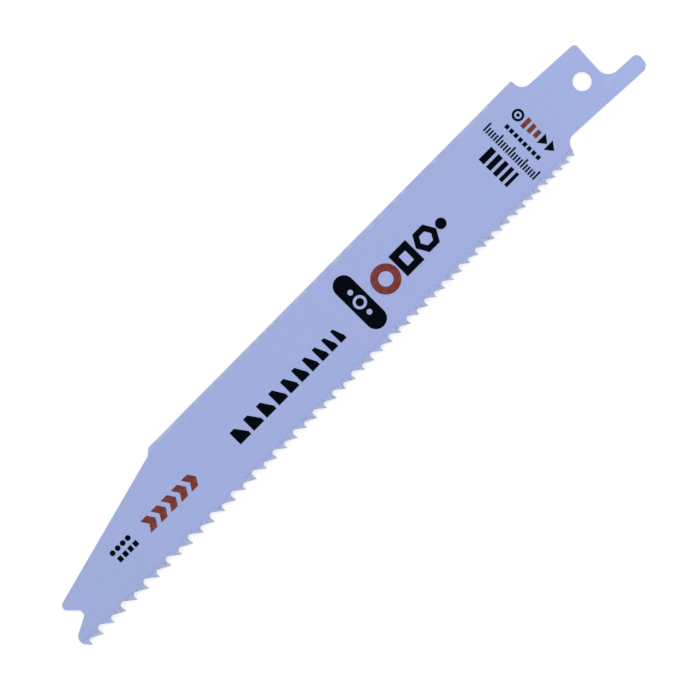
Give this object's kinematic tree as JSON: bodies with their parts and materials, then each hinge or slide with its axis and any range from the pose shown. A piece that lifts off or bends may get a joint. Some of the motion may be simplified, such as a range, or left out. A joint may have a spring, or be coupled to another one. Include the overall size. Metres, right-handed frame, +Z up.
{
  "type": "reciprocating saw blade",
  "caption": "Flat steel blade for a reciprocating saw: progressive row of set teeth, tapered and notched tip, and an angled shank with a pin hole and a narrow tang.",
  "frame": {"origin": "middle of the blade's footprint, on the surface that it lies on", "axes": "+X along the blade from the nose to the tang, +Y across it from the teeth to the back, +Z up out of the printed face"},
  "size_m": [0.1524, 0.0186, 0.0013],
  "materials": {
    "painted_steel": "satin"
  },
  "bodies": {
    "root": {"blade": "painted_steel"}
  },
  "joints": []
}
